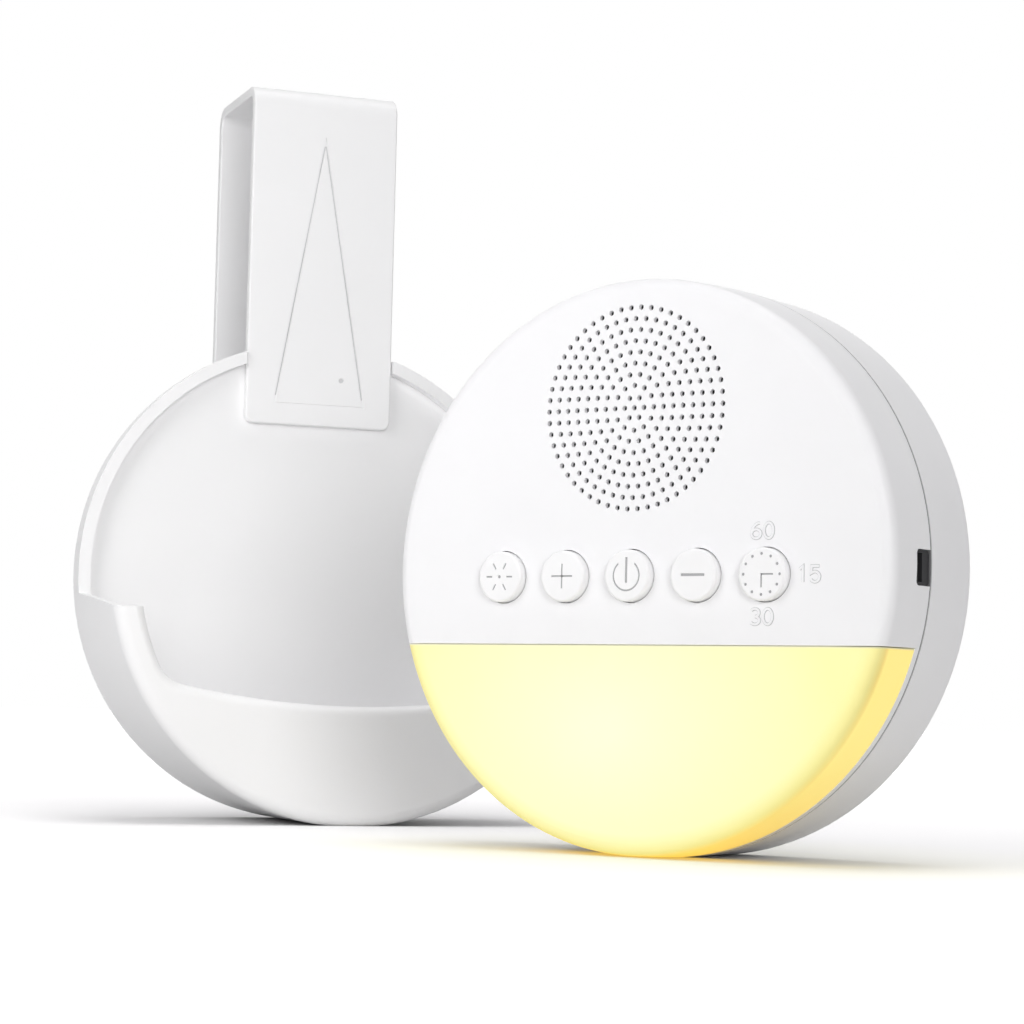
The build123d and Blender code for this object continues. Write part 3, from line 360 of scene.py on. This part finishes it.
def slab(bm, outline, front, back):
    """A flat piece with this outline (x, z), between two depths along Y."""
    near = [bm.verts.new((x, front, z)) for x, z in outline]
    far = [bm.verts.new((x, back, z)) for x, z in outline]
    bm.faces.new(near)
    bm.faces.new(far[::-1])
    for i in range(len(outline)):
        j = (i + 1) % len(outline)
        bm.faces.new((near[j], near[i], far[i], far[j]))


def polar(radius, angle):
    """A point (x, z) at this distance and angle in degrees."""
    return radius * math.cos(math.radians(angle)), radius * math.sin(math.radians(angle))


def bar(x, z, length, width, turn=0.0):
    """Outline of a bar with rounded ends."""
    half, end = length / 2 - width / 2, width / 2
    points = []
    for side, start in ((1, -90), (-1, 90)):
        for step in range(7):
            px, pz = polar(end, start + 30 * step)
            points.append((side * half + px, pz))
    c, s = polar(1, turn)
    return [(x + px * c - pz * s, z + px * s + pz * c) for px, pz in points]


def disc(x, z, radius, steps=20):
    """Outline of a round dot."""
    turns = [2 * math.pi * i / steps for i in range(steps)]
    return [(x + radius * math.cos(turn), z + radius * math.sin(turn)) for turn in turns]


def arc_strips(radius, width, start, end, steps=48):
    """An open ring as short quads."""
    strips = []
    for i in range(steps):
        a, b = (start + (end - start) * k / steps for k in (i, i + 1))
        inner, outer = radius - width / 2, radius + width / 2
        strips.append([polar(inner, a), polar(outer, a), polar(outer, b), polar(inner, b)])
    return strips


INK_FRONT = CAP_Y + 0.16     # the ink fills the engraving up to just below the cap's surface
INK_BACK = CAP_Y + 0.249


def symbol(button, outlines):
    x0 = BUTTONS[button]

    def make(bm):
        for outline in outlines:
            slab(bm, [(x0 + x, BUTTON_Z + z) for x, z in outline], INK_FRONT, INK_BACK)
    new_piece(f"{button}_marking", make, ink, f"{button}_key")


# each line is a little narrower than its engraved groove
THIN, BOLD = 0.33, 0.51
SUN_RAY, SUN_RADIUS, SUN_DOT = 1.38, 2.45, 0.34      # a ray's length and middle, and the dot's radius
PLUS_BAR, MINUS_BAR = 4.98, 5.28
POWER_RADIUS, POWER_GAP = 2.98, 1.825                # the open ring, and half the width of its gap
POWER_BAR, POWER_LIFT = 5.08, 1.1
CLOCK_RADIUS, CLOCK_DOT = 3.95, 0.29                 # the ring of dots, and a dot's radius
CLOCK_HAND, CLOCK_MIDDLE = 2.72, 1.2                 # a hand's length and middle
rays = [bar(*polar(SUN_RADIUS, a), SUN_RAY, THIN, a) for a in range(0, 360, 60)]
symbol("light", rays + [disc(0, 0, SUN_DOT)])
symbol("plus", [bar(0, 0, PLUS_BAR, THIN), bar(0, 0, PLUS_BAR, THIN, 90)])
gap = math.degrees(math.asin(POWER_GAP / POWER_RADIUS))
symbol("power", arc_strips(POWER_RADIUS, THIN, 90 + gap, 450 - gap)
       + [bar(0, POWER_LIFT, POWER_BAR, BOLD, 90)])
symbol("minus", [bar(0, 0, MINUS_BAR, BOLD)])
dots = [disc(*polar(CLOCK_RADIUS, a), CLOCK_DOT, 14) for a in range(0, 360, 30)]
symbol("timer", dots + [bar(CLOCK_MIDDLE, 0, CLOCK_HAND, THIN),
                        bar(0, -CLOCK_MIDDLE, CLOCK_HAND, THIN, 90)])

# the strap's engraving, its triangle and its dot, with painted shade in its grooves
TRIANGLE_RISE, TRIANGLE_HEIGHT, TRIANGLE_HALF, TRIANGLE_GROOVE = 4.9, 70.0, 12.2, 0.6
LINE_SHARE, LINE_WIDTH = 0.93, 0.26     # the grey line of painted shade, shorter and thinner than its groove
DOT_SIDE, DOT_RISE, DOT_RADIUS = 5.8, 12.0, 0.6
GREY_FRONT, GREY_BACK = STRAP_FRONT + 0.2, STRAP_FRONT + 0.349


def strap_groove_shade(bm):
    """Thin grey lines of painted shade in the two long grooves of the strap's engraved triangle, and in
    its dot.
    """
    length = math.hypot(TRIANGLE_HALF, TRIANGLE_HEIGHT)
    turn = math.degrees(math.atan2(TRIANGLE_HEIGHT, TRIANGLE_HALF))
    # the groove lies inside the triangle, so its middle is half its width from the side
    across = TRIANGLE_HALF / 2 - TRIANGLE_GROOVE / 2 * TRIANGLE_HEIGHT / length
    middle = (STRAP_END + TRIANGLE_RISE + TRIANGLE_HEIGHT / 2
              - TRIANGLE_GROOVE / 2 * TRIANGLE_HALF / length)
    for side in (-1, 1):
        slab(bm, bar(side * across, middle, length * LINE_SHARE, LINE_WIDTH, -side * turn),
             GREY_FRONT, GREY_BACK)
    slab(bm, disc(DOT_SIDE, STRAP_END + DOT_RISE, DOT_RADIUS), GREY_FRONT, GREY_BACK)


new_piece("strap_groove_shade", strap_groove_shade, groove_grey, "holder", HOLDER)


def arc(x, z, across, up, start, end, steps=14):
    """Points along part of an ellipse, angles in degrees."""
    angles = [math.radians(start + (end - start) * i / steps) for i in range(steps + 1)]
    return [(x + across * math.cos(a), z + up * math.sin(a)) for a in angles]


# middle lines of the numerals, within -1 to 1 both ways
NUMERALS = {
    "0": [arc(0, 0, 1, 1, 0, 360, 32)],
    "1": [[(-0.6, 0.62), (0.1, 1), (0.1, -1)]],
    "3": [arc(-0.05, 0.5, 0.9, 0.5, 150, -90), arc(-0.05, -0.5, 1, 0.5, 90, -150)],
    "5": [[(0.85, 1), (-0.75, 1), (-0.85, 0.1)] + arc(-0.05, -0.35, 1, 0.65, 115, -150, 18)],
    "6": [arc(0, -0.42, 1, 0.58, 0, 360, 24), arc(0.9, -0.42, 1.9, 1.42, 95, 180)],
}
DIGIT_HALF, DIGIT_TALL, DIGIT_STEP = 1.0, 1.5, 2.75
STROKE_STEP = 0.012      # each further stroke of a numeral lies this much deeper, clear of the first


def ribbon(bm, points, width, front, back):
    """A band of this width along a line of points (x, z), between two depths along Y."""
    closed = math.dist(points[0], points[-1]) < 1e-6
    line = points[:-1] if closed else points
    count = len(line)
    rungs = []
    for i, (x, z) in enumerate(line):
        steps = []
        if closed or i > 0:
            steps.append(Vector((x, z)) - Vector(line[i - 1]))
        if closed or i < count - 1:
            steps.append(Vector(line[(i + 1) % count]) - Vector((x, z)))
        steps = [step.normalized() for step in steps]
        along = sum(steps, Vector((0, 0))).normalized()
        # a corner reaches out further, up to twice as far
        reach = width / 2 / max(0.5, along.dot(steps[0]))
        dx, dz = -along.y * reach, along.x * reach
        rungs.append([bm.verts.new(corner) for corner in (
            (x + dx, front, z + dz), (x - dx, front, z - dz),
            (x - dx, back, z - dz), (x + dx, back, z + dz))])
    for i in range(count if closed else count - 1):
        here, ahead = rungs[i], rungs[(i + 1) % count]
        for a in range(4):
            b = (a + 1) % 4
            bm.faces.new((here[a], here[b], ahead[b], ahead[a]))
    if not closed:
        bm.faces.new(rungs[0])
        bm.faces.new(rungs[-1][::-1])


def number(name, text, x, z, material, width, front, back):
    """A number on the front panel, its strokes this wide, between two heights above the panel."""
    def make(bm):
        for place, digit in enumerate(text):
            middle = x + (place - (len(text) - 1) / 2) * DIGIT_STEP
            for order, line in enumerate(NUMERALS[digit]):
                ribbon(bm, [(middle + px * DIGIT_HALF, z + pz * DIGIT_TALL) for px, pz in line],
                       width, FACE_Y - front + order * STROKE_STEP, FACE_Y - back + order * STROKE_STEP)
        bmesh.ops.recalc_face_normals(bm, faces=bm.faces)
    new_piece(name, make, material, "machine")


# raised numbers round the timer button, each with a thin grey band of painted shade round its foot
STROKE, STROKE_FRONT, STROKE_BACK = 0.42, 0.2, -0.12
SHADE_STROKE, SHADE_FRONT, SHADE_BACK = 0.66, 0.03, -0.01
for text, x, z in (("60", -0.85, 8.5), ("15", 9.3, 0.0), ("30", -0.8, -8.1)):
    x += BUTTONS["timer"]
    z += BUTTON_Z
    number("number_" + text, text, x, z, shell, STROKE, STROKE_FRONT, STROKE_BACK)
    number("number_edge_" + text, text, x, z, number_shade_grey, SHADE_STROKE, SHADE_FRONT, SHADE_BACK)


# ------------------------------------------------------------------ floor, lights and camera

def floor_material():
    """Pale floor that keeps shadows. Only the camera and reflections see it lifted to white."""
    n = Nodes(bpy.data.materials.new("floor_paper"))
    n.tree.nodes.remove(n.tree.nodes["Principled BSDF"])
    place = n.node("ShaderNodeTexCoord").outputs["Object"]
    # a painted pool of the night light's warm glow on the floor below it
    beside = n.node("ShaderNodeVectorMath", {0: place, 1: (0.0, FACE_Y * MM, 0)}, operation="DISTANCE")
    painted_glow_blue = n.scaled(beside.outputs["Value"], 0.72, 1.0, 0.01, 0.11)
    painted_glow_tint = n.node("ShaderNodeCombineColor", {"Red": 1.0, "Green": 0.98, "Blue": painted_glow_blue}).outputs["Color"]
    away = n.node("ShaderNodeVectorMath", {0: place}, operation="LENGTH").outputs["Value"]
    far = n.scaled(away, 0.55, 1.0, 0.18, 0.9)
    # the lift fades out beside the object, where little light reaches the floor
    near = n.node("ShaderNodeAmbientOcclusion", {"Distance": 0.3}, samples=12).outputs["AO"]
    open_sky = n.math("MULTIPLY", far, n.math("POWER", near, 1.5))
    strength = n.math("MULTIPLY", n.seen(), open_sky)
    lift = n.node("ShaderNodeEmission", {"Color": painted_glow_tint, "Strength": strength})
    plain = n.node("ShaderNodeBsdfDiffuse", {"Color": (0.77, 0.77, 0.77, 1)})
    both = n.node("ShaderNodeAddShader", {0: plain.outputs[0], 1: lift.outputs[0]})
    n.feed(n.tree.nodes["Material Output"].inputs["Surface"], both.outputs[0])
    return n.owner


FLOOR_REACH = 6.0
FLOOR_DROP = 0.00005     # the floor lies this far below the object, clear of its flat base
floor_mesh = bpy.data.meshes.new("floor")
floor_mesh.from_pydata([(-FLOOR_REACH, -FLOOR_REACH, 0), (FLOOR_REACH, -FLOOR_REACH, 0),
                        (FLOOR_REACH, FLOOR_REACH, 0), (-FLOOR_REACH, FLOOR_REACH, 0)], [],
                       [(0, 1, 2, 3)])
floor = bpy.data.objects.new("floor", floor_mesh)
floor.location.z = -FLOOR_DROP
floor_mesh.materials.append(floor_material())
bpy.context.scene.collection.objects.link(floor)


def white_world(level):
    """White to the camera and to reflections, a soft grey light to everything else."""
    world = bpy.data.worlds.new("studio")
    bpy.context.scene.world = world
    n = Nodes(world)
    back = n.tree.nodes["Background"]
    n.feed(back.inputs["Color"], (1, 1, 1, 1))
    n.feed(back.inputs["Strength"], n.scaled(n.seen(), level, 1.0))


def soft_lamp(name, place, target, size, power):
    """A round soft lamp at a place, turned towards a target."""
    light = bpy.data.lights.new(name, "AREA")
    light.shape = "DISK"
    light.size = size
    light.energy = power
    lamp_object = bpy.data.objects.new(name, light)
    bpy.context.scene.collection.objects.link(lamp_object)
    lamp_object.location = place
    aim = Vector(target) - Vector(place)
    lamp_object.rotation_euler = aim.to_track_quat("-Z", "Y").to_euler()
    lamp_object.visible_camera = False


white_world(0.18)
soft_lamp("key_lamp", (-0.15, -0.30, 0.19), (-0.01, 0.0, 0.06), 0.25, 0.51)
soft_lamp("side_lamp", (0.81, -0.75, 0.30), (-0.07, 0.04, 0.09), 0.5, 5.0)
soft_lamp("top_lamp", (0.0, 0.0, 1.2), (-0.05, 0.0, 0.07), 0.7, 4.4)
soft_lamp("back_lamp", (-0.10, 0.60, 0.70), (-0.05, 0.0, 0.06), 0.6, 0.2)
soft_lamp("fill_lamp", (-0.35, 0.80, 0.22), (-0.05, 0.05, 0.07), 0.6, 0.6)

CAMERA_PLACE = (278.03, -470.85, 28.47)      # in millimetres
CAMERA_YAW, CAMERA_PITCH, CAMERA_ROLL = 0.5954, 0.0739, 0.0229
IMAGE_WIDTH, FOCAL_PIXELS, SENSOR_WIDTH = 1024, 2675.5, 36


def make_camera():
    """The photograph's viewpoint: low, from the front right, tipped up and rolled a little."""
    yaw, pitch, roll = CAMERA_YAW, CAMERA_PITCH, CAMERA_ROLL
    forward = Vector((-math.sin(yaw) * math.cos(pitch), math.cos(yaw) * math.cos(pitch),
                      math.sin(pitch)))
    level = Vector((math.cos(yaw), math.sin(yaw), 0))
    above = level.cross(forward)
    right = math.cos(roll) * level + math.sin(roll) * above
    up = -math.sin(roll) * level + math.cos(roll) * above
    data = bpy.data.cameras.new("camera")
    data.sensor_width = SENSOR_WIDTH
    data.lens = FOCAL_PIXELS / IMAGE_WIDTH * SENSOR_WIDTH
    data.clip_start = 0.01
    data.clip_end = 20
    camera = bpy.data.objects.new("camera", data)
    bpy.context.scene.collection.objects.link(camera)
    turn = Matrix((right, up, -forward)).transposed().to_4x4()
    camera.matrix_world = Matrix.Translation(Vector(CAMERA_PLACE) * MM) @ turn
    bpy.context.scene.camera = camera


make_camera()
bpy.context.scene.view_settings.view_transform = "Standard"
